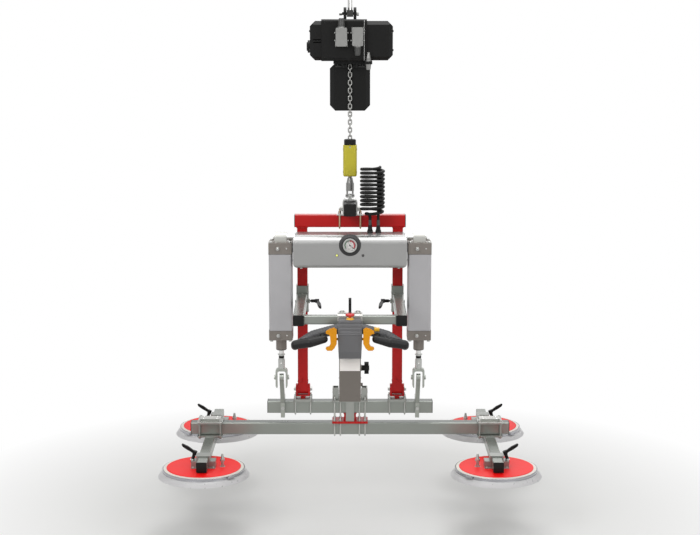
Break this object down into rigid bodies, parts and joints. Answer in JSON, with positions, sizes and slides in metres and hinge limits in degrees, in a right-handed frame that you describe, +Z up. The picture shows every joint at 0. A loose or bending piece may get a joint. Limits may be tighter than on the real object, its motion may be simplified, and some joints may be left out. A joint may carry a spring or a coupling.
{
  "type": "glass panel lifter",
  "caption": "Vacuum lifter for glass panels: hoist and load chain, red frame with pump housing, tilt cylinders, handle head and a beam with suction pads",
  "frame": {"origin": "centre of the suspension rod's upper end, from which the whole lifter hangs", "axes": "+X to the operator's right along the main beam, +Y away from the operator, +Z up along the suspension rod"},
  "size_m": [1.8359, 1.3177, 2.255],
  "materials": {
    "bare_steel": "satin, zinc plated",
    "chain_steel": "bright plated",
    "hoist_black": "fine textured powder coat",
    "plug_grey": "die cast, satin",
    "buffer_rubber": "matt",
    "block_yellow": "satin paint",
    "frame_red": "powder coat",
    "cap_black": "moulded",
    "housing_silver": "metallic paint",
    "gauge_metal": "polished bezel with white dial",
    "needle_black": "painted",
    "cable_black": "polyurethane jacket",
    "cylinder_silver": "anodised",
    "beam_grey": "clear anodised extrusion",
    "clamp_grey": "zinc plated",
    "post_grey": "powder coat",
    "tiller_grey": "moulded",
    "grip_black": "soft grip",
    "control_yellow": "moulded",
    "stop_red": "moulded",
    "lever_black": "glass filled",
    "pad_metal": "plate with a red cover disc",
    "lip_rubber": "translucent silicone"
  },
  "bodies": {
    "hoist": {"suspension_rod": "bare_steel", "suspension_bracket": "hoist_black", "hoist_housing": "hoist_black", "end_covers": "hoist_black", "plug_connectors": "plug_grey", "chain_guide": "hoist_black", "chain_container": "hoist_black"},
    "sheave": {"load_sheave": "chain_steel"},
    "block": {"load_chain": "chain_steel", "buffer_cap": "buffer_rubber", "hook_block": "block_yellow", "swivel_shank": "bare_steel"},
    "frame": {"swivel_fork": "bare_steel", "carriage": "bare_steel", "balance_tube": "hoist_black", "frame_caps": "cap_black", "red_frame": "frame_red", "pump_housing": "housing_silver", "vacuum_gauge": "gauge_metal", "spiral_cable": "cable_black", "cylinder_shaft": "bare_steel"},
    "needle": {"gauge_needle": "needle_black"},
    "cylinder_l": {"cylinder_left": "cylinder_silver"},
    "cylinder_r": {"cylinder_right": "cylinder_silver"},
    "rod_l": {"piston_rod_left": "bare_steel"},
    "rod_r": {"piston_rod_right": "bare_steel"},
    "tilt": {"lower_crossbeam": "beam_grey", "cross_clamps": "clamp_grey", "tilt_brackets": "frame_red", "main_beam": "beam_grey", "beam_caps": "cap_black", "tilt_levers": "clamp_grey"},
    "carrier": {"handle_frame": "beam_grey", "handle_caps": "cap_black"},
    "head": {"head_post": "post_grey", "tiller_body": "tiller_grey", "tiller_grips": "grip_black"},
    "paddles": {"butterfly": "control_yellow"},
    "stop": {"estop_button": "stop_red"},
    "rocker": {"rocker_button": "control_yellow"},
    "knob": {"star_knob": "lever_black"},
    "arm_l": {"pad_arm_left": "beam_grey"},
    "arm_r": {"pad_arm_right": "beam_grey"},
    "cup_fl": {"pad_fl": "pad_metal", "lip_fl": "lip_rubber"},
    "cup_fr": {"pad_fr": "pad_metal", "lip_fr": "lip_rubber"},
    "cup_rl": {"pad_rl": "pad_metal", "lip_rl": "lip_rubber"},
    "cup_rr": {"pad_rr": "pad_metal", "lip_rr": "lip_rubber"},
    "clamp_fl": {"lever_pad_fl": "lever_black"},
    "clamp_fr": {"lever_pad_fr": "lever_black"},
    "clamp_rl": {"lever_pad_rl": "lever_black"},
    "clamp_rr": {"lever_pad_rr": "lever_black"},
    "clamp_sleeve_l": {"lever_sleeve_left": "lever_black"},
    "clamp_sleeve_r": {"lever_sleeve_right": "lever_black"},
    "clamp_head": {"lever_head": "lever_black"}
  },
  "joints": [
    {"name": "hoist_lift", "type": "slide", "parent": "hoist", "child": "block", "axis": [0, 0, 1], "range_m": [-0.1, 0.07]},
    {"name": "sheave_turn", "type": "hinge", "parent": "hoist", "child": "sheave", "pos_m": [0, 0.031, -0.2305], "axis": [1, 0, 0], "range_deg": [-135, 190]},
    {"name": "hook_swivel", "type": "hinge", "parent": "block", "child": "frame", "pos_m": [0, 0, -0.89], "axis": [0, 0, 1], "continuous": true},
    {"name": "needle_turn", "type": "hinge", "parent": "frame", "child": "needle", "pos_m": [0, -0.241, -1.165], "axis": [0, 1, 0], "range_deg": [-270, 0], "stiffness_Nm_per_rad": 0.002},
    {"name": "tilt", "type": "hinge", "parent": "frame", "child": "tilt", "pos_m": [0, 0, -1.924], "axis": [1, 0, 0], "range_deg": [0, 90]},
    {"name": "cylinder_swing_l", "type": "hinge", "parent": "frame", "child": "cylinder_l", "pos_m": [-0.335, -0.15, -1.138], "axis": [1, 0, 0], "range_deg": [0, 3.45]},
    {"name": "rod_slide_l", "type": "slide", "parent": "cylinder_l", "child": "rod_l", "axis": [0, 0, -1], "range_m": [0, 0.246]},
    {"name": "cylinder_swing_r", "type": "hinge", "parent": "frame", "child": "cylinder_r", "pos_m": [0.335, -0.15, -1.138], "axis": [1, 0, 0], "range_deg": [0, 3.45]},
    {"name": "rod_slide_r", "type": "slide", "parent": "cylinder_r", "child": "rod_r", "axis": [0, 0, -1], "range_m": [0, 0.246]},
    {"name": "carrier_slide", "type": "slide", "parent": "frame", "child": "carrier", "axis": [0, 0, 1], "range_m": [-0.15, 0.08]},
    {"name": "head_slide", "type": "slide", "parent": "carrier", "child": "head", "axis": [1, 0, 0], "range_m": [-0.1, 0.1]},
    {"name": "butterfly_turn", "type": "hinge", "parent": "head", "child": "paddles", "pos_m": [0, -0.65, -1.535], "axis": [1, 0, 0], "range_deg": [-20, 20], "stiffness_Nm_per_rad": 2},
    {"name": "stop_press", "type": "slide", "parent": "head", "child": "stop", "axis": [0, 0, -1], "range_m": [0, 0.005], "stiffness_N_per_m": 1500},
    {"name": "rocker_turn", "type": "hinge", "parent": "head", "child": "rocker", "pos_m": [0.122, -0.63, -1.495], "axis": [1, 0, 0], "range_deg": [-12, 12], "stiffness_Nm_per_rad": 0.2},
    {"name": "knob_turn", "type": "hinge", "parent": "head", "child": "knob", "pos_m": [0.064, -0.57, -1.687], "axis": [1, 0, 0], "continuous": true},
    {"name": "arm_slide_l", "type": "slide", "parent": "tilt", "child": "arm_l", "axis": [1, 0, 0], "range_m": [-0.03, 0.2]},
    {"name": "arm_slide_r", "type": "slide", "parent": "tilt", "child": "arm_r", "axis": [-1, 0, 0], "range_m": [-0.03, 0.2]},
    {"name": "pad_slide_fl", "type": "slide", "parent": "arm_l", "child": "cup_fl", "axis": [0, 1, 0], "range_m": [-0.05, 0.12]},
    {"name": "pad_slide_fr", "type": "slide", "parent": "arm_r", "child": "cup_fr", "axis": [0, 1, 0], "range_m": [-0.05, 0.12]},
    {"name": "pad_slide_rl", "type": "slide", "parent": "arm_l", "child": "cup_rl", "axis": [0, -1, 0], "range_m": [-0.05, 0.12]},
    {"name": "pad_slide_rr", "type": "slide", "parent": "arm_r", "child": "cup_rr", "axis": [0, -1, 0], "range_m": [-0.05, 0.12]},
    {"name": "clamp_fl_turn", "type": "hinge", "parent": "cup_fl", "child": "clamp_fl", "pos_m": [-0.754, -0.385, -2.179], "axis": [0.342, 0, 0.9397], "range_deg": [-60, 60]},
    {"name": "clamp_fr_turn", "type": "hinge", "parent": "cup_fr", "child": "clamp_fr", "pos_m": [0.754, -0.385, -2.179], "axis": [-0.342, 0, 0.9397], "range_deg": [-60, 60]},
    {"name": "clamp_rl_turn", "type": "hinge", "parent": "cup_rl", "child": "clamp_rl", "pos_m": [-0.754, 0.385, -2.179], "axis": [0.342, 0, 0.9397], "range_deg": [-60, 60]},
    {"name": "clamp_rr_turn", "type": "hinge", "parent": "cup_rr", "child": "clamp_rr", "pos_m": [0.754, 0.385, -2.179], "axis": [-0.342, 0, 0.9397], "range_deg": [-60, 60]},
    {"name": "clamp_sleeve_l_turn", "type": "hinge", "parent": "carrier", "child": "clamp_sleeve_l", "pos_m": [-0.199, 0, -1.478], "axis": [1, 0, 0], "range_deg": [-60, 60]},
    {"name": "clamp_sleeve_r_turn", "type": "hinge", "parent": "carrier", "child": "clamp_sleeve_r", "pos_m": [0.199, 0, -1.478], "axis": [-1, 0, 0], "range_deg": [-60, 60]},
    {"name": "clamp_head_turn", "type": "hinge", "parent": "head", "child": "clamp_head", "pos_m": [0, -0.542, -1.447], "axis": [0, 1, 0], "range_deg": [-60, 60]}
  ],
  "couplings": [
    {"joint": "sheave_turn", "follows": "hoist_lift", "rad_per_m": -32.258},
    {"joint": "cylinder_swing_l", "follows": "tilt", "ratio": 0.038043},
    {"joint": "rod_slide_l", "follows": "tilt", "m_per_rad": 0.1564},
    {"joint": "cylinder_swing_r", "follows": "tilt", "ratio": 0.038043},
    {"joint": "rod_slide_r", "follows": "tilt", "m_per_rad": 0.1564}
  ]
}
